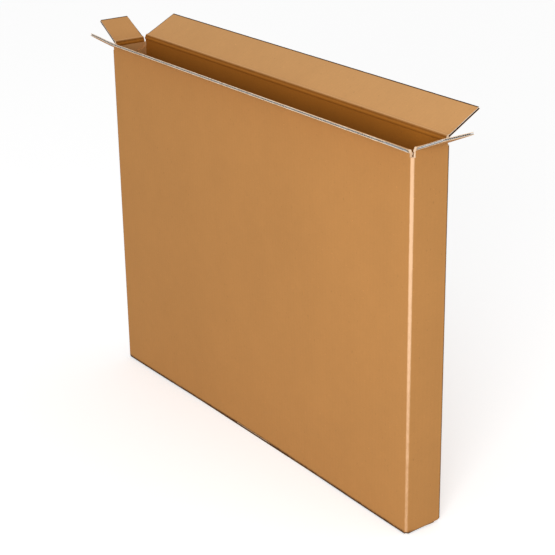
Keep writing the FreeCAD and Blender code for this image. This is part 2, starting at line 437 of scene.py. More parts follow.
@dataclass(frozen=True)
class FluteFinish(Finish):
    """The coarse paper of the waves between the liners: its own darker tone, made darker still as painted shade
    of the gaps inside the board.
    """

    colour: Colour
    dark_share: float = 0.6
    pale_share: float = 1.35
    roughness: float = 0.95
    relief: float = 0.15 * MM

    def draw(self, paint: Paint) -> None:
        """Draws the coarse paper.

        Args:
            paint: The builder of its node tree.
        """
        place = paint.node("ShaderNodeTexCoord")["Object"]
        grain, patch = paint.noise(place, COARSE_PAPER), paint.noise(place, COARSE_PATCH)
        dark, pale = (
            tuple(min(1.0, c * share) for c in self.colour[:3]) + (1.0,)
            for share in (self.dark_share, self.pale_share)
        )
        colour = paint.mix((grain * 0.6 + patch * 0.4).above(0.3, 0.7), dark, pale)
        paint.finish(colour, self.roughness, grain, self.relief, 0.0)


@dataclass(frozen=True)
class FloorFinish(Finish):
    """A plain white studio floor that stays white to the camera and keeps the carton's shadow."""

    level: float = 0.80
    lift: float = 0.43

    def draw(self, paint: Paint) -> None:
        """Draws the floor, which glows to the camera and in reflections and sheds no light of its own.

        Args:
            paint: The builder of its node tree.
        """
        seen = paint.node("ShaderNodeLightPath")
        direct = seen["Is Camera Ray"] + seen["Is Glossy Ray"] + seen["Is Transmission Ray"]
        matt = paint.node("ShaderNodeBsdfDiffuse", None, {"Color": (self.level, self.level, self.level, 1.0)})
        glow = paint.node("ShaderNodeEmission", None, {"Color": WHITE, "Strength": self.lift})
        both = paint.node("ShaderNodeAddShader", None, [matt["BSDF"], glow["Emission"]])
        shader = paint.node("ShaderNodeMixShader", None, [direct, matt["BSDF"], both["Shader"]])
        paint.node("ShaderNodeOutputMaterial", None, {"Surface": shader["Shader"]})


@dataclass(frozen=True)
class Finishes:
    """The finishes of the carton, each made once and shared by its pieces."""

    outside: bpy.types.Material
    inside: bpy.types.Material
    cut: bpy.types.Material
    flute: bpy.types.Material

    @staticmethod
    def make() -> "Finishes":
        """Makes every finish of the carton.

        Returns:
            The finishes.
        """
        # deep is the painted shade colour of the carton's inside; edge is the dark colour of darkened edges and
        # of painted shade along the foot and below the crease ridges.
        deep, edge = srgb(170, 106, 34), srgb(64, 38, 16)
        outside, outside_fold = srgb(186, 132, 75), srgb(230, 186, 145)
        inside, inside_fold = srgb(209, 157, 101), srgb(226, 176, 126)
        coarse = {"mottle": 0.08, "fibre": 0.10, "fleck": 0.17}
        return Finishes(
            LinerFinish("kraft_liner_outside", outside, outside_fold, deep, edge).make(),
            LinerFinish("kraft_liner_inside", inside, inside_fold, deep, edge, **coarse).make(),
            CutFinish("liner_cut_edge", srgb(250, 232, 208), srgb(206, 166, 124)).make(),
            # The flute paper is far darker than the liners: the paper's own darker tone, with painted shade of
            # the gaps inside the board; the liners' hidden inner faces take it too.
            FluteFinish("flute_paper_painted_shade", srgb(66, 40, 20)).make(),
        )


class Draft:
    """Collects the slabs of one piece and turns them into one mesh object."""

    def __init__(self, name: str) -> None:
        """Starts an empty piece.

        Args:
            name: The piece's name.
        """
        self.name = name
        self.points: list[np.ndarray] = []
        self.sheet: list[np.ndarray] = []
        self.wear_and_shade: list[np.ndarray] = []
        self.faces: list[tuple[int, ...]] = []
        self.coats: list[int] = []
        self.count = 0

    def slab(
        self,
        low: np.ndarray,
        high: np.ndarray,
        sheet: np.ndarray,
        wear_shade_low: np.ndarray,
        wear_shade_high: np.ndarray,
        coats: tuple[Coat, Coat, Coat],
        closed: bool = False,
    ) -> None:
        """Adds a closed slab between two grids of points.

        Args:
            low: The grid of the first face, shaped (across, along, 3).
            high: The grid of the opposite face.
            sheet: The place on the flat paper of each point of the first face.
            wear_shade_low: How the first face is marked, by use and by painted highlight and shade, shaped
                (across, along, 3).
            wear_shade_high: The same for the opposite face.
            coats: The finishes of the first face, the opposite face and the edges.
            closed: Whether the grid's last row joins its first one.
        """
        wide, deep = low.shape[:2]
        start, lift = self.count, wide * deep
        for grid, worn_and_shaded, side in ((low, wear_shade_low, 0.0), (high, wear_shade_high, 1.3)):
            self.points.append(grid.reshape(-1, 3))
            self.sheet.append(sheet.reshape(-1, 3) + (0.0, 0.0, side))
            self.wear_and_shade.append(worn_and_shaded.reshape(-1, 3))
        self.count += 2 * lift

        def at(i: int, j: int) -> int:
            """Number of a point of the first grid."""
            return start + (i % wide) * deep + j

        def edge(near: int, far: int) -> None:
            """Joins an edge of the first grid to the opposite one."""
            self._face((near, far, far + lift, near + lift), coats[2])

        for i in range(wide if closed else wide - 1):
            for j in range(deep - 1):
                first, second, third, last = at(i, j), at(i, j + 1), at(i + 1, j + 1), at(i + 1, j)
                self._face((first, second, third, last), coats[0])
                self._face((first + lift, last + lift, third + lift, second + lift), coats[1])
            for j in (0, deep - 1):
                edge(at(i, j), at(i + 1, j))
        if not closed:
            for i in (0, wide - 1):
                for j in range(deep - 1):
                    edge(at(i, j), at(i, j + 1))

    def _face(self, corners: tuple[int, ...], coat: Coat) -> None:
        """Adds one face with its finish."""
        self.faces.append(corners)
        self.coats.append(coat.value)

    def build(self, finishes: Finishes, smooth_below: float = 35.0) -> bpy.types.Object:
        """Makes the mesh object.

        Args:
            finishes: The carton's finishes.
            smooth_below: The angle in degrees between faces below which they shade as one surface.

        Returns:
            The object, at the origin, with its faces pointing outwards.
        """
        mesh = bpy.data.meshes.new(self.name)
        mesh.from_pydata(np.concatenate(self.points).tolist(), [], self.faces)
        for material in (finishes.outside, finishes.inside, finishes.cut, finishes.flute):
            mesh.materials.append(material)
        mesh.polygons.foreach_set("material_index", self.coats)
        for name, parts in (("sheet", self.sheet), ("wear_and_shade", self.wear_and_shade)):
            layer = mesh.attributes.new(name, "FLOAT_VECTOR", "POINT")
            layer.data.foreach_set("vector", np.concatenate(parts).astype(np.float32).ravel())
        work = bmesh.new()
        work.from_mesh(mesh)
        bmesh.ops.recalc_face_normals(work, faces=work.faces)
        for face in work.faces:
            face.smooth = True
        for edge in work.edges:
            edge.smooth = len(edge.link_faces) == 2 and edge.calc_face_angle(0.0) < math.radians(smooth_below)
        work.to_mesh(mesh)
        work.free()
        LOG.info("%s: %d faces", self.name, len(mesh.polygons))
        return add_object(self.name, mesh)


class FluteTree:
    """The Geometry Nodes tree that rolls a flat sheet into the waves between two liners."""

    SIZES = ("Width", "Depth", "Pitch", "Height", "Thickness")
    COUNTS = ("Across", "Along")
    PER_FLUTE = 12
    PAPER = 0.38 * MM
    HEIGHT = (BOARD - 2.0 * LINER - PAPER) / 2.0
    WELD = 1e-6

    def __init__(self, finishes: Finishes) -> None:
        """Builds the tree with named inputs for its sizes.

        Args:
            finishes: The carton's finishes.
        """
        self.cut = finishes.cut
        self.tree = bpy.data.node_groups.new("flute_waves", "GeometryNodeTree")
        face = self.tree.interface
        face.new_socket("Geometry", in_out="OUTPUT", socket_type="NodeSocketGeometry")
        self.keys = {}
        for names, kind in ((self.SIZES, "NodeSocketFloat"), (self.COUNTS, "NodeSocketInt")):
            for name in names:
                self.keys[name] = face.new_socket(name, in_out="INPUT", socket_type=kind).identifier
        given = self._add("NodeGroupInput").outputs
        sides = {"Size_X": given["Width"], "Size_Y": given["Depth"]}
        grid = self._add("GeometryNodeMeshGrid", Vertices_X=given["Across"], Vertices_Y=given["Along"], **sides)
        place = self._add("GeometryNodeInputPosition")
        parts = self._add("ShaderNodeSeparateXYZ", Vector=place.outputs[0])
        turns = self._math("DIVIDE", parts.outputs["X"], given["Pitch"])
        wave = self._math("SINE", self._math("MULTIPLY", turns, 2.0 * math.pi))
        lift = self._add("ShaderNodeCombineXYZ", Z=self._math("MULTIPLY", wave, given["Height"]))
        moved = self._add("GeometryNodeSetPosition", Geometry=grid.outputs["Mesh"], Offset=lift.outputs[0])
        thick = self._add("ShaderNodeCombineXYZ", Z=given["Thickness"]).outputs[0]
        raised = self._add("GeometryNodeExtrudeMesh", Mesh=moved.outputs[0], Offset=thick, Individual=False)
        turned = self._add("GeometryNodeFlipFaces", Mesh=moved.outputs[0])
        both = self._add("GeometryNodeJoinGeometry")
        self._fill(both.inputs[0], turned.outputs[0])
        self._fill(both.inputs[0], raised.outputs[0])
        welded = self._add("GeometryNodeMergeByDistance", Geometry=both.outputs[0], Distance=self.WELD)
        real = self._add("GeometryNodeRealizeInstances", Geometry=welded.outputs[0])
        coated = self._add("GeometryNodeSetMaterial", Geometry=real.outputs[0], Material=finishes.flute)
        self._fill(self._add("NodeGroupOutput").inputs[0], coated.outputs[0])

    def _fill(self, socket: Any, value: Any) -> None:
        """Fills an input.

        Args:
            socket: The input.
            value: An output to link, or a plain value.
        """
        if isinstance(value, bpy.types.NodeSocket):
            self.tree.links.new(value, socket)
        else:
            socket.default_value = value

    def _add(self, kind: str, **inputs: Any) -> Any:
        """Adds a node.

        Args:
            kind: The node's type.
            **inputs: What fills its inputs, named with underscores for spaces.

        Returns:
            The node.
        """
        made = self.tree.nodes.new(kind)
        for name, value in inputs.items():
            self._fill(made.inputs[name.replace("_", " ")], value)
        return made

    def _math(self, operation: str, *values: Any) -> Any:
        """Adds a Math node.

        Args:
            operation: Its operation.
            *values: What fills its inputs, in order.

        Returns:
            Its output.
        """
        made = self.tree.nodes.new("ShaderNodeMath")
        made.operation = operation
        for socket, value in zip(made.inputs, values):
            self._fill(socket, value)
        return made.outputs[0]

    def roll(self, name: str, width: float, depth: float) -> bpy.types.Object:
        """Makes a waved sheet, centred on the origin, with its waves running along Y.

        Args:
            name: The piece's name.
            width: Size across the flutes.
            depth: Size along the flutes.

        Returns:
            A plain mesh object.
        """
        holder = add_object(name + "_holder", bpy.data.meshes.new(name + "_holder"))
        modifier = holder.modifiers.new("waves", "NODES")
        modifier.node_group = self.tree
        sizes = {"Width": width, "Depth": depth, "Pitch": PITCH, "Height": self.HEIGHT, "Thickness": self.PAPER}
        sizes.update({"Across": int(round(width / PITCH * self.PER_FLUTE)) + 1, "Along": 3})
        for key, value in sizes.items():
            modifier[self.keys[key]] = value
        holder.update_tag()
        mesh = bpy.data.meshes.new_from_object(holder.evaluated_get(bpy.context.evaluated_depsgraph_get()))
        bpy.data.objects.remove(holder)
        mesh.name = name
        mesh.materials.append(self.cut)
        middle = np.empty(len(mesh.polygons) * 3, np.float32)
        mesh.polygons.foreach_get("center", middle)
        at_end = np.abs(middle.reshape(-1, 3)[:, 1]) > depth / 2.0 - 0.01 * MM
        mesh.polygons.foreach_set("material_index", at_end.astype(np.int32))
        LOG.info("%s: %d faces", name, len(mesh.polygons))
        return add_object(name, mesh)


@dataclass(frozen=True)
class Place:
    """A panel's own frame: along its fold, away from it, and through its board from outside to inside."""

    origin: Vector
    along: Vector
    away: Vector
    through: Vector

    @staticmethod
    def leaning(origin: Triple, outward: Triple, lean: float) -> "Place":
        """The frame of a panel that leaves its fold outwards at an angle above level.

        Args:
            origin: A point on the fold, at its middle.
            outward: The level direction away from the carton.
            lean: The angle above level, in degrees.

        Returns:
            The frame, right-handed.
        """
        out, up = Vector(outward), Vector((0.0, 0.0, 1.0))
        turn = math.radians(lean)
        away = out * math.cos(turn) + up * math.sin(turn)
        through = up * math.cos(turn) - out * math.sin(turn)
        return Place(Vector(origin), away.cross(through), away, through)

    def points(self, grid: np.ndarray) -> np.ndarray:
        """Takes points from the panel's frame into the carton's."""
        axes = np.array([self.along, self.away, self.through])
        return grid @ axes + np.array(self.origin)


@dataclass(frozen=True)
class Look:
    """How a panel differs from a flat, clean one.

    It has a twist in degrees at either end of its fold, a curl at the far end, a darkness for its low end, far
    end and free edge, and a share of the painted shade colour of the carton's inside.
    """

    twist_low: float = 0.0
    twist_high: float = 0.0
    curl: float = 0.0
    curl_band: float = 90.0 * MM
    stiff_root: float = 20.0 * MM
    dark_edges: Triple = (0.0, 0.0, 0.0)
    shade: float = 0.0


@dataclass
class Panel:
    """One flat panel of board with open cut edges: two liners with the flute waves between them."""

    name: str
    place: Place
    root: float
    length: float
    half_root: float
    half_tip: float
    sheet_start: float
    seed: int
    mitred: bool = True
    look: Look = Look()
    replaced: tuple[str, ...] = ()
    raggedness: float = 0.12 * MM
    steps: int = 72
    spare: int = 40
    flare: float = 0.4 * MM
    flare_band: tuple[float, float] = (2.5 * MM, 0.5 * MM)
    edge_band: float = 0.8 * MM
    side_dark: tuple[float, float] = (0.9 * MM, 1.7 * MM)
    free_dark: tuple[float, float] = (2.4 * MM, 1.2 * MM)
    inset: float = 0.4 * MM
    root_gap: float = 0.6 * MM
    deep: tuple[float, ...] = (0.0, 0.06, 0.14, 0.3, 0.5, 0.7, 0.86, 0.955, 0.98, 1.0)

    def bend(self, grid: np.ndarray) -> np.ndarray:
        """Warps points in the panel's frame as the real board does, without moving its fold.

        Args:
            grid: Points in the panel's frame.

        Returns:
            The warped points.
        """
        look = self.look
        bent = grid.copy()
        share = (grid[..., 0] / self.half_root + 1.0) / 2.0
        turn = np.radians(look.twist_low * (1.0 - share) + look.twist_high * share)
        reach = smooth(0.0, look.stiff_root, grid[..., 1]) * turn
        cos, sin = np.cos(reach), np.sin(reach)
        bent[..., 1] = grid[..., 1] * cos - grid[..., 2] * sin
        bent[..., 2] = grid[..., 1] * sin + grid[..., 2] * cos
        away = np.clip(grid[..., 1] / self.length, 0.0, 1.0)
        far_end = smooth(self.half_root - look.curl_band, self.half_root, grid[..., 0])
        bent[..., 2] += look.curl * away**1.5 * far_end
        return bent

    def _grid(self, through: float, ragged: np.ndarray, flare: float) -> np.ndarray:
        """The grid of one face, its free edge a little ragged and flared.

        Args:
            through: Its depth through the board.
            ragged: How far each edge point is moved.
            flare: How far the free edge is bent through the board.

        Returns:
            The points in the panel's frame, shaped (across, away, 3).
        """
        root = self.root + (through if self.mitred else 0.0)
        edge = 1.0 - np.array([self.edge_band, self.edge_band + MM]) / self.half_root
        across = np.sort(np.concatenate([np.linspace(-1.0, 1.0, self.steps + 1), edge, -edge]))
        a, s = np.meshgrid(across, np.array(self.deep), indexing="ij")
        away = root + (self.length - root) * s
        half = self.half_root + (self.half_tip - self.half_root) * s
        far, near = self.flare_band
        depth = through + flare * smooth(self.length - far, self.length - near, away)
        away[:, -1] += ragged[: len(across)]
        grid = np.stack([a * half, away, depth], axis=-1)
        count = len(self.deep)
        grid[0, :, 0] += ragged[:count]
        grid[-1, :, 0] -= ragged[count : 2 * count]
        return grid

    def liners(self) -> Draft:
        """The two liners of the panel.

        Returns:
            The draft of the piece that holds both.
        """
        draft = Draft(self.name)
        chance = np.random.default_rng(self.seed)
        layers = (
            (0.0, LINER, (0.0, self.flare), (Coat.OUTSIDE, Coat.HOLLOW, Coat.CUT)),
            (BOARD - LINER, BOARD, (-self.flare, 0.0), (Coat.HOLLOW, Coat.INSIDE, Coat.CUT)),
        )
        for layer, (low, high, flares, coats) in enumerate(layers):
            ragged = -np.abs(chance.normal(0.0, self.raggedness, self.steps + self.spare))
            bottom, top = self._grid(low, ragged, flares[0]), self._grid(high, ragged, flares[1])
            sheet = bottom.copy()
            sheet[..., 1] += self.sheet_start
            # The third value moves the pattern, so that no two papers show the same one.
            sheet[..., 2] = 0.3 * layer + 0.7 * (self.seed % 5)
            low_end, far_end, free_edge = self.look.dark_edges
            from_end = self.half_root - np.abs(bottom[..., 0])
            sides = np.where(bottom[..., 0] < 0.0, low_end, far_end)
            dark = sides * (1.0 - smooth(*self.side_dark, from_end))
            far, near = self.free_dark
            free = free_edge * smooth(self.length - far, self.length - near, bottom[..., 1])
            # The panel's share of the painted shade colour of the inside darkens it.
            worn_and_shaded = wear_and_shade(bottom[..., 0], 0.0, np.maximum(dark, free), self.look.shade)
            low_face, high_face = (self.place.points(self.bend(face)) for face in (bottom, top))
            draft.slab(low_face, high_face, sheet, worn_and_shaded, worn_and_shaded, coats)
        return draft

    def waves(self, tree: FluteTree) -> bpy.types.Object:
        """The waved paper between the liners.

        Args:
            tree: The node tree that rolls it.

        Returns:
            The piece, in the carton's frame.
        """
        start = self.root + (BOARD if self.mitred else self.root_gap)
        depth = self.length - self.inset - start
        made = tree.roll(self.name + "_flutes", 2.0 * self.half_tip - self.inset, depth)
        count = len(made.data.vertices)
        flat = np.empty(count * 3, np.float32)
        made.data.vertices.foreach_get("co", flat)
        grid = flat.reshape(-1, 3).astype(float)
        grid[:, 1] += start + depth / 2.0
        grid[:, 2] += (BOARD - tree.PAPER) / 2.0
        taper = self.half_root + (self.half_tip - self.half_root) * grid[:, 1] / self.length
        grid[:, 0] *= taper / self.half_tip
        made.data.vertices.foreach_set("co", self.place.points(self.bend(grid)).astype(np.float32).ravel())
        made.data.update()
        return made

    def dress(self, finishes: Finishes, tree: FluteTree, body: str) -> None:
        """Builds the panel and lets it ride on a body.

        Args:
            finishes: The carton's finishes.
            tree: The node tree that rolls the waves.
            body: The body that it rides on.
        """
        board = self.liners().build(finishes)
        waves = self.waves(tree)
        if self.replaced:
            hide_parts(*self.replaced)
        for piece in (board, waves):
            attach(piece, body)


@dataclass(frozen=True)
class CreaseShape:
    """The section of a crushed score, with painted highlight lines and painted shade across it, by shares from
    0 at the wall to 1 at the flap.
    """

    rows: int = 29
    per_flute: int = 4
    core: float = 0.2 * MM
    groove: float = 0.9 * MM
    groove_at: float = 0.46
    groove_width: float = 0.12
    shoulder: float = 0.9 * MM
    ripple: float = 0.10 * MM
    chafe: float = 0.12 * MM
    chafe_span: int = 9
    paper_length: float = 12.0 * MM
    # Strength, place and width of the painted highlights along the top of the ridge and below it.
    crest_highlight: Triple = (0.65, 0.84, 0.05)
    second_highlight: Triple = (0.40, 0.64, 0.04)
    # Strength of the painted shade below the ridge.
    dark: float = 0.38

    def wear_and_shade(self, share: np.ndarray, like: np.ndarray, shade: float) -> np.ndarray:
        """Gives the strip's painted highlights, painted shade and painted inside shade colour.

        Args:
            share: The share of each row.
            like: A grid of values with the strip's shape.
            shade: The least share of the painted inside shade colour, that of the flap.

        Returns:
            The paleness, darkness and share of inside shade colour of each point.
        """
        lines = (self.crest_highlight, self.second_highlight)
        # Painted highlights along the top of the ridge and a fainter line below it.
        pale = sum(strength * ridge(share, at, width) for strength, at, width in lines)
        # Painted shade below the ridge, where the flap overhangs the wall.
        dark = self.dark * smooth(0.2, 0.45, share) * (1.0 - smooth(0.70, 0.78, share))
        # The wall side of the strip takes the painted shade colour of the inside.
        deep = np.maximum(1.0 - smooth(0.58, 0.76, share), shade)
        return wear_and_shade(like, pale[None, :], dark[None, :], deep[None, :])


@dataclass(frozen=True)
class TopFlap:
    """One of the four top flaps and the creased strip that joins it to its wall."""

    name: str
    body: str
    outward: Triple
    reach: float
    height: float
    lean: float
    length: float
    half_root: float
    half_tip: float
    seed: int
    look: Look = Look(dark_edges=(0.0, 0.0, 0.2))
    offset: float = 0.15 * MM
    clearance: float = 0.3 * MM
    score: CreaseShape = CreaseShape()

    def place(self) -> Place:
        """The flap's own frame, on its score line."""
        out = Vector(self.outward) * (self.reach + self.offset)
        return Place.leaning((out.x, out.y, self.height), self.outward, self.lean)

    def crease(self, finishes: Finishes) -> None:
        """Builds the strip across the score, a bead inside with a groove pressed along it.

        Args:
            finishes: The carton's finishes.
        """
        place = self.place()
        out, up = np.array(self.outward), np.array((0.0, 0.0, 1.0))
        axis = np.array(place.origin)
        wall_in = np.array((-(BOARD + self.offset), -(BOARD + self.offset)))
        turn = math.radians(self.lean)
        away = np.array((math.cos(turn), math.sin(turn)))
        through = np.array((-math.sin(turn), math.cos(turn)))
        leaf_in = away * (self.clearance + BOARD) + through * BOARD
        start, end = (math.atan2(side[1], side[0]) % (2.0 * math.pi) for side in (wall_in, leaf_in))
        shape = self.score
        share = np.linspace(0.0, 1.0, shape.rows)
        angle = start + (end - start) * share
        near, far = np.linalg.norm(wall_in), np.linalg.norm(leaf_in)
        edge = near + (far - near) * share
        segments = int(round(2.0 * self.half_root / PITCH * shape.per_flute))
        across = np.linspace(-self.half_root, self.half_root, segments + 1)
        chance = np.random.default_rng(self.seed + 40)
        span = shape.chafe_span
        chafed = np.convolve(chance.normal(0.0, 1.0, segments + span), np.ones(span) / span, "valid")
        ripple = shape.ripple * np.cos(2.0 * math.pi * across / PITCH) + shape.chafe * chafed
        groove = ridge(share, shape.groove_at, shape.groove_width)
        shoulder = shape.shoulder * np.sin(math.pi * share) ** 2
        radius = edge[None, :] - (shape.groove + ripple[:, None]) * groove[None, :] - shoulder[None, :]
        round_score = np.cos(angle)[:, None] * out + np.sin(angle)[:, None] * up
        line = axis + across[:, None, None] * np.array(place.along)
        inner = line + radius[..., None] * round_score
        outer = line + shape.core * round_score
        sheet = np.zeros_like(inner)
        sheet[..., 0] = across[:, None]
        sheet[..., 1] = self.height + shape.paper_length * (share[None, :] - 0.5)
        sheet[..., 2] = 0.3 + 0.7 * (self.seed % 5)
        worn_and_shaded = shape.wear_and_shade(share, inner[..., 0], self.look.shade)
        draft = Draft(self.name + "_crease")
        draft.slab(outer, inner, sheet, worn_and_shaded, worn_and_shaded, (Coat.OUTSIDE, Coat.INSIDE, Coat.CUT))
        strip = draft.build(finishes, 50.0)
        first, last = (axis + side[0] * out + side[1] * up for side in (wall_in, leaf_in))
        tuple(first)
        tuple(last)
        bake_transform(strip)

    def dress(self, finishes: Finishes, tree: FluteTree) -> None:
        """Builds the flap and its crease.

        Args:
            finishes: The carton's finishes.
            tree: The node tree that rolls the waves.
        """
        panel = Panel(
            name=self.name + "_board",
            place=self.place(),
            root=self.clearance,
            length=self.length,
            half_root=self.half_root,
            half_tip=self.half_tip,
            sheet_start=self.height,
            seed=self.seed,
            look=self.look,
            replaced=(self.name,),
        )
        panel.dress(finishes, tree, self.body)
        self.crease(finishes)


@dataclass
class Tube:
    """The carton's four walls as one folded tube, with crushed beads inside its upright folds.

    A value for each wall or for the corner after it stands in the order of Wall.
    """

    half_length: float = 414.0 * MM
    half_depth: float = 35.0 * MM
    radius: float = 5.0 * MM
    bead: float = 3.5 * MM
    bead_rise: float = 0.55 * MM
    bead_groove: float = 0.5 * MM
    groove_at: float = 0.13
    groove_width: float = 0.06
    bead_pale: float = 0.35
    seam_top: float = 597.0 * MM
    post_tops: tuple[float, ...] = (600.0 * MM, 606.0 * MM, 606.0 * MM, 600.0 * MM)
    slot_length: float = 408.5 * MM
    slot_depth: float = 29.3 * MM
    offset: float = 0.15 * MM
    scores: tuple[float, ...] = (606.0 * MM, 610.3 * MM, 614.6 * MM, 610.3 * MM)
    corner_wear: tuple[tuple[float, float], ...] = ((1.0, 0.0), (0.0, 0.85), (0.3, 0.3), (0.0, 0.85))
    column_gap: float = 14.0 * MM
    corner_turns: int = 10
    base_step: float = 4.0 * MM
    base_radius: float = 3.0 * MM
    base_notch: float = 3.4 * MM
    notch: float = 0.6 * MM
    foot_band: tuple[float, float] = (2.6 * MM, 4.4 * MM)
    foot_shade: float = 0.95
    bow_in: float = 4.2 * MM
    bow_height: float = 0.50
    bulge: float = 1.0 * MM
    bulge_height: float = 0.60
    bulge_from: float = 0.38

    def sway(self, grid: np.ndarray) -> np.ndarray:
        """Bends points of the walls and base as the standing carton's panels bow.

        Args:
            grid: Points in the carton's frame.

        Returns:
            The bent points.
        """
        bent = grid.copy()
        middle = np.cos(0.5 * math.pi * np.clip(grid[..., 0] / self.half_length, -1.0, 1.0)) ** 2
        lower = 1.0 - smooth(0.0, self.bow_height, grid[..., 2])
        frontness = np.clip(0.5 - grid[..., 1] / (2.0 * self.half_depth), 0.0, 1.0)
        bent[..., 1] += self.bow_in * middle * lower * frontness
        level = np.sin(math.pi * np.clip(grid[..., 2] / self.bulge_height, 0.0, 1.0))
        band = self.half_length - self.bulge_from
        side = np.clip((np.abs(grid[..., 0]) - self.bulge_from) / band, 0.0, 1.0)
        centre = np.cos(0.5 * math.pi * np.clip(grid[..., 1] / self.half_depth, -1.0, 1.0))
        bent[..., 0] += np.sign(grid[..., 0]) * self.bulge * level * side * centre
        return bent

    def _side(self, wall: Wall) -> tuple[np.ndarray, np.ndarray, float, float, float]:
        """Where a wall stands.

        Args:
            wall: The wall.

        Returns:
            Direction of the walk, outward direction, half the walk, reach and slot.
        """
        turns = np.array(((1.0, 0.0), (0.0, 1.0), (-1.0, 0.0), (0.0, -1.0)))
        walk, out = turns[wall.value], turns[wall.value - 1]
        if wall in (Wall.FRONT, Wall.REAR):
            return walk, out, self.half_length, self.half_depth, self.slot_length
        return walk, out, self.half_depth, self.half_length, self.slot_depth

    def _bead_point(self, share: float, here: Wall) -> np.ndarray:
        """A point of the bead inside the fold after a wall.

        Args:
            share: How far the point lies along the bead, 0 on this wall and 1 on the next.
            here: The wall.

        Returns:
            The point, seen from above.
        """
        walk, out, half, reach, _ = self._side(here)
        corner = walk * (half - BOARD) + out * (reach - BOARD)
        first, last = corner - walk * self.bead, corner - out * self.bead
        inward = -(walk + out) / math.sqrt(2.0)
        groove = sum(ridge(share, at, self.groove_width) for at in (self.groove_at, 1.0 - self.groove_at))
        pressed = self.bead_groove * groove * min(1.0, 30.0 * share * (1.0 - share))
        height = self.bead_rise * math.sin(math.pi * share) - pressed
        return first + (last - first) * share + inward * height

    def _wall_columns(self, wall: Wall, beaded: bool) -> Columns:
        """The columns of a wall, from slot to slot.

        Args:
            wall: The wall.
            beaded: Whether its ends run into the beads of the folds.

        Returns:
            Outer points, inner points and wear.
        """
        walk, out, half, reach, slot = self._side(wall)
        previous = Wall((wall.value - 1) % 4)
        straight = half - BOARD - self.bead
        count = max(8, int(round(straight / self.column_gap)))
        ends = [straight + (slot - straight) * k for k in (0.35, 0.7, 1.0)]
        spots = [-a for a in reversed(ends)] + list(np.linspace(-straight, straight, 2 * count + 1)) + ends
        outer = [walk * a + out * reach for a in spots]
        inner = [walk * a + out * (reach - BOARD) for a in spots]
        if beaded:
            shares = (0.07, 0.14, 0.2)
            inner[:3] = [self._bead_point(1.0 - s, previous) for s in reversed(shares)]
            inner[-3:] = [self._bead_point(s, wall) for s in shares]
        return np.array(outer), np.array(inner), np.zeros((len(outer), 2))

    def _corner_columns(self, wall: Wall) -> Columns:
        """The columns of the fold after a wall, from slot to slot.

        Args:
            wall: The wall.

        Returns:
            Outer points, inner points and wear.
        """
        walk, out, half, reach, slot = self._side(wall)
        centre = walk * (half - self.radius) + out * (reach - self.radius)
        outer = [walk * slot + out * reach]
        for k in range(self.corner_turns + 1):
            turn = 0.5 * math.pi * k / self.corner_turns
            outer.append(centre + out * self.radius * math.cos(turn) + walk * self.radius * math.sin(turn))
        other_slot = self._side(Wall((wall.value + 1) % 4))[4]
        outer.append(walk * half + out * other_slot)
        shares = np.linspace(0.2, 0.8, len(outer))
        inner = [self._bead_point(float(s), wall) for s in shares]
        spread = np.sin(math.pi * np.linspace(0.0, 1.0, len(outer)))
        weight = np.outer(np.clip(spread * 1.3 - 0.25, 0.0, 1.0), self.corner_wear[wall.value])
        return np.array(outer), np.array(inner), weight

    def _bottom(self, y: np.ndarray) -> np.ndarray:
        """Height of a wall's lower edge where it passes a depth."""
        inside = self.half_depth - BOARD
        return self.base_step * np.clip((y + inside) / (2.0 * inside), 0.0, 1.0)

    def _lift(
        self,
        draft: Draft,
        columns: Columns,
        outer_z: list[np.ndarray],
        inner_z: list[np.ndarray],
        start: float,
        closed: bool,
        inset: list[float] | None = None,
    ) -> None:
        """Adds the board between two sets of columns.

        Args:
            draft: The piece that it goes into.
            columns: Outer points, inner points and wear.
            outer_z: Heights of the outer points, level by level.
            inner_z: Heights of the inner points, level by level.
            start: Where the walk starts on the flat sheet.
            closed: Whether the columns go all the way round.
            inset: How far each level of the outer face is drawn in, for a rounded lower edge.
        """
        outer, inner, weight = columns
        steps = np.linalg.norm(np.diff(outer, axis=0), axis=1)
        walk = start + np.concatenate([[0.0], np.cumsum(steps)])
        middle = np.array((self.half_length - self.radius, self.half_depth - self.radius))
        away = outer - np.clip(outer, -middle, middle)
        away /= np.linalg.norm(away, axis=1)[:, None]
        high = np.zeros((len(outer), len(outer_z), 3))
        low, sheet = np.zeros_like(high), np.zeros_like(high)
        for level, (upper, under) in enumerate(zip(outer_z, inner_z)):
            drawn = (inset[level] if inset else 0.0) * away
            high[:, level, :2], high[:, level, 2] = outer - drawn, upper
            low[:, level, :2], low[:, level, 2] = inner, under
            sheet[:, level, 0], sheet[:, level, 1] = walk, upper
        tall = high[..., 2]
        paleness = weight[:, :1] * (0.5 + 0.5 * smooth(0.0, 0.6, tall))
        # Painted shade along the lower edge, where the walls meet the floor, together with the darkened
        # corners.
        dark = np.maximum(weight[:, 1:], self.foot_shade * (1.0 - smooth(*self.foot_band, tall)))
        bead = self.bead_pale * np.clip(weight.max(axis=1), 0.0, 1.0)[:, None]
        coats = (Coat.INSIDE, Coat.OUTSIDE, Coat.CUT)
        # The inner faces take the painted shade colour of the inside, the left wall only a tenth of it.
        deep = 1.0 - 0.9 * (low[..., 0] < BOARD - self.half_length + 3.0 * MM)
        inside, outside = wear_and_shade(tall, bead, 0.0, deep), wear_and_shade(tall, paleness, dark)
        draft.slab(self.sway(low), self.sway(high), sheet, inside, outside, coats, closed)

    def _rise(self, count: int, end: float) -> list[np.ndarray]:
        """Heights of a wall's columns from the top of the tube to an upper edge, in three levels."""
        return [np.full(count, self.seam_top + (end - self.seam_top) * k) for k in (0.0, 0.5, 1.0)]

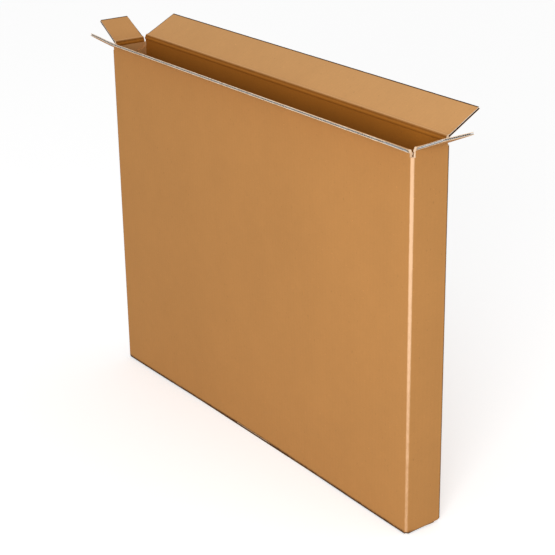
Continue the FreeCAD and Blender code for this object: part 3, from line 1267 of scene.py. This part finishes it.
    def build(self) -> Draft:
        """The walls: the tube, the four corner posts above it and the four scored upper edges.

        Returns:
            The draft of the walls.
        """
        draft = Draft("carton_walls")
        sides = {wall: self._wall_columns(wall, True) for wall in Wall}
        edges = {wall: self._wall_columns(wall, False) for wall in Wall}
        corners = {wall: self._corner_columns(wall) for wall in Wall}
        ring, notch = ([], [], []), []
        for wall in Wall:
            for columns, skip in ((sides[wall], 0), (corners[wall], 1)):
                for whole, part in zip(ring, columns):
                    whole.append(part[skip : len(part) - skip])
                cut = self.base_notch if wall is Wall.FRONT else self.notch
                notch.append(np.full(len(ring[0][-1]), cut * skip))
        ring = tuple(np.concatenate(parts) for parts in ring)
        foot = self._bottom(ring[0][:, 1]) + np.concatenate(notch)
        rise = [0.0, 0.25 * MM, 0.7 * MM, 1.5 * MM, self.base_radius]
        radius = self.base_radius
        inset = [radius - math.sqrt(radius**2 - (radius - h) ** 2) for h in rise]
        levels = [foot + h for h in rise]
        # The levels lie closer together near the foot and the scores, where the board bends most.
        heights = np.concatenate([[0.0086], np.linspace(0.014, 0.56, 22), [0.575, 0.585, 0.592]])
        levels += [np.full_like(foot, z) for z in heights] + [np.full_like(foot, self.seam_top)]
        inset += [0.0] * (len(levels) - len(inset))
        self._lift(draft, ring, levels, levels, 0.0, True, inset)
        start = 0.0
        for wall in Wall:
            top = self.scores[wall.value] - self.offset
            upper, under = (self._rise(len(edges[wall][0]), end) for end in (top, top - BOARD))
            self._lift(draft, edges[wall], upper, under, start, False)
            start += 2.0 * self._side(wall)[2]
            post = [np.full(len(corners[wall][0]), z) for z in (self.seam_top, self.post_tops[wall.value])]
            self._lift(draft, corners[wall], post, post, start, False)
        return draft

    def dress(self, finishes: Finishes) -> None:
        """Builds the walls and lets them stand for the carton's solid.

        Args:
            finishes: The carton's finishes.
        """
        walls = self.build().build(finishes)
        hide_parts("carton_body")
        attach(walls, "carton")


@dataclass
class GlueTab:
    """The tab that joins the tube, glued inside the left wall, with slanted ends."""

    tube: Tube
    near: float = 13.0 * MM
    far: float = 31.0 * MM
    low: float = 12.3 * MM
    high: float = 598.3 * MM
    slant: float = 6.0 * MM
    thickness: float = 3.0 * MM

    def dress(self, finishes: Finishes) -> None:
        """Builds the tab.

        Args:
            finishes: The carton's finishes.
        """
        across = np.array([0.0, 0.08, 0.2, 0.4, 0.6, 0.8, 0.95, 1.0])
        up = np.linspace(0.0, 1.0, 40)
        a, v = np.meshgrid(across, up, indexing="ij")
        y = self.near + (self.far - self.near) * a
        cut = self.slant * (1.0 - a)
        z = (self.low + cut) + (self.high - self.low - 2.0 * cut) * v
        face = -self.tube.half_length + BOARD
        thick = self.thickness * (0.55 + 0.45 * smooth(0.0, 0.2, a))
        low = np.stack([np.full_like(y, face), y, z], axis=-1)
        high = np.stack([face + thick, y, z], axis=-1)
        sheet = np.stack([2.6 + y, z, np.full_like(y, 2.1)], axis=-1)
        draft = Draft("glue_tab")
        bent = self.tube.sway
        # A little pale, darker along its near edge, with some of the painted shade colour of the inside.
        worn_and_shaded = wear_and_shade(y, 0.2, 0.6 * (1.0 - smooth(0.0, 0.12, a)), 0.15)
        draft.slab(bent(low), bent(high), sheet, worn_and_shaded, worn_and_shaded, (Coat.OUTSIDE, Coat.INSIDE, Coat.INSIDE))
        tab = draft.build(finishes)
        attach(tab, "carton")


@dataclass
class Base:
    """The four closed base flaps: the long ones cross under the short ones."""

    tube: Tube
    long_half: float = 409.8 * MM
    long_reach: float = 60.0 * MM
    short_half: float = 29.0 * MM
    short_reach: float = 63.0 * MM
    root_gap: float = 0.05 * MM

    def dress(self, finishes: Finishes, tree: FluteTree) -> None:
        """Builds the base flaps, each lying level inwards from its wall.

        Args:
            finishes: The carton's finishes.
            tree: The node tree that rolls the waves.
        """
        depth, length = self.tube.half_depth, self.tube.half_length
        step = self.tube.base_step
        long_size, short_size = (self.long_half, self.long_reach), (self.short_half, self.short_reach)
        rows = (
            ("base_front", (0.0, -depth, 0.0), (0.0, 1.0, 0.0), long_size),
            ("base_rear", (0.0, depth, step), (0.0, -1.0, 0.0), long_size),
            ("base_left", (-length, 0.0, 2.0 * step), (1.0, 0.0, 0.0), short_size),
            ("base_right", (length, 0.0, 2.0 * step), (-1.0, 0.0, 0.0), short_size),
        )
        root = BOARD + self.root_gap
        for seed, (name, origin, inward, (half, reach)) in enumerate(rows, 21):
            place = Place.leaning(origin, inward, 0.0)
            panel = Panel(name, place, root, reach, half, half, -reach, seed, mitred=False)
            panel.dress(finishes, tree, "carton")


@dataclass
class Carton:
    """The whole carton: its tube, base, glue tab and four top flaps."""

    tube: Tube = field(default_factory=Tube)
    flaps: tuple[TopFlap, ...] = (
        TopFlap(
            "front_flap", "front_leaf", (0.0, -1.0, 0.0), reach=0.035, height=0.606, lean=26.0, length=0.053,
            half_root=0.4085, half_tip=0.4085, seed=1,
            look=Look(twist_high=1.5, curl=3.5 * MM, dark_edges=(0.0, 0.0, 0.2)),
        ),
        TopFlap(
            "rear_flap", "rear_leaf", (0.0, 1.0, 0.0), reach=0.035, height=0.6146, lean=29.5, length=0.067,
            half_root=0.4085, half_tip=0.4085, seed=2,
            look=Look(twist_low=-2.0, dark_edges=(1.0, 0.0, 1.0), shade=0.04),
        ),
        TopFlap(
            "left_flap", "left_leaf", (-1.0, 0.0, 0.0), reach=0.414, height=0.6103, lean=30.0, length=0.061,
            half_root=0.029, half_tip=0.0275, seed=3, look=Look(dark_edges=(0.0, 1.0, 1.0), shade=0.2),
        ),
        TopFlap(
            "right_flap", "right_leaf", (1.0, 0.0, 0.0), reach=0.414, height=0.6103, lean=24.5, length=0.061,
            half_root=0.029, half_tip=0.0275, seed=4,
        ),
    )

    def build(self, finishes: Finishes) -> None:
        """Builds every piece of the carton in order.

        Args:
            finishes: The carton's finishes.
        """
        tree = FluteTree(finishes)
        self.tube.dress(finishes)
        GlueTab(self.tube).dress(finishes)
        Base(self.tube).dress(finishes, tree)
        for flap in self.flaps:
            flap.dress(finishes, tree)


@dataclass(frozen=True)
class Studio:
    """The camera at the photograph's angle, soft studio light and a white floor."""

    azimuth: float = 54.832
    elevation: float = 21.659
    roll: float = -0.941
    distance: float = 2.5743
    target: Triple = (0.0362, 0.0, 0.2958)
    focal_pixels: float = 1560.6
    image_pixels: float = 555.0
    world_level: float = 0.66
    floor_side: float = 14.0
    floor_height: float = -0.4 * MM
    key_place: Triple = (1.95, -1.9, 1.25)
    key_aim: Triple = (0.3, 0.0, 0.5)
    key_size: float = 1.0
    key_power: float = 40.0

    def camera(self) -> None:
        """Makes the camera and sets it as the scene's."""
        turn, tilt, roll = (math.radians(v) for v in (self.azimuth, self.elevation, self.roll))
        back = Vector((math.sin(turn) * math.cos(tilt), -math.cos(turn) * math.cos(tilt), math.sin(tilt)))
        level = (-back).cross(Vector((0.0, 0.0, 1.0))).normalized()
        up = level.cross(-back)
        right = level * math.cos(roll) + up * math.sin(roll)
        upright = up * math.cos(roll) - level * math.sin(roll)
        data = bpy.data.cameras.new("camera")
        data.sensor_width = 36.0
        data.lens = self.focal_pixels / self.image_pixels * data.sensor_width
        data.clip_start, data.clip_end = 0.05, 60.0
        made = add_object("camera", data)
        turned = Matrix((right, upright, back)).transposed().to_4x4()
        made.matrix_world = Matrix.Translation(Vector(self.target) + back * self.distance) @ turned
        bpy.context.scene.camera = made

    def key(self) -> None:
        """Makes the square soft lamp."""
        data = bpy.data.lights.new("key", "AREA")
        data.size, data.energy = self.key_size, self.key_power
        made = add_object("key", data)
        made.location = self.key_place
        turned = (Vector(self.key_aim) - Vector(self.key_place)).to_track_quat("-Z", "Y")
        made.rotation_euler = turned.to_euler()

    def world(self) -> None:
        """Makes the world: even white light, and plain white to the camera."""
        world = bpy.data.worlds.new("studio")
        bpy.context.scene.world = world
        paint = Paint(world)
        seen = paint.node("ShaderNodeLightPath")["Is Camera Ray"]
        values = {"Value": seen, "To Min": self.world_level, "To Max": 1.0}
        level = paint.node("ShaderNodeMapRange", None, values)["Result"]
        backdrop = paint.node("ShaderNodeBackground", None, {"Color": WHITE, "Strength": level})
        paint.node("ShaderNodeOutputWorld", None, {"Surface": backdrop["Background"]})

    def floor(self) -> None:
        """Makes the floor."""
        side, low = self.floor_side, self.floor_height
        mesh = bpy.data.meshes.new("floor")
        corners = [(x * side, y * side, low) for x, y in ((-1, -1), (1, -1), (1, 1), (-1, 1))]
        mesh.from_pydata(corners, [], [(0, 1, 2, 3)])
        mesh.materials.append(FloorFinish("studio_floor").make())
        add_object("floor", mesh)

    def build(self) -> None:
        """Builds the studio."""
        self.camera()
        self.world()
        self.floor()
        self.key()
        bpy.context.scene.view_settings.view_transform = "Standard"


def main() -> None:
    """Builds the studio and the carton."""
    logging.basicConfig(level=logging.INFO, format="%(name)s: %(message)s")
    Studio().build()
    Carton().build(Finishes.make())


if __name__ == "__main__":
    main()
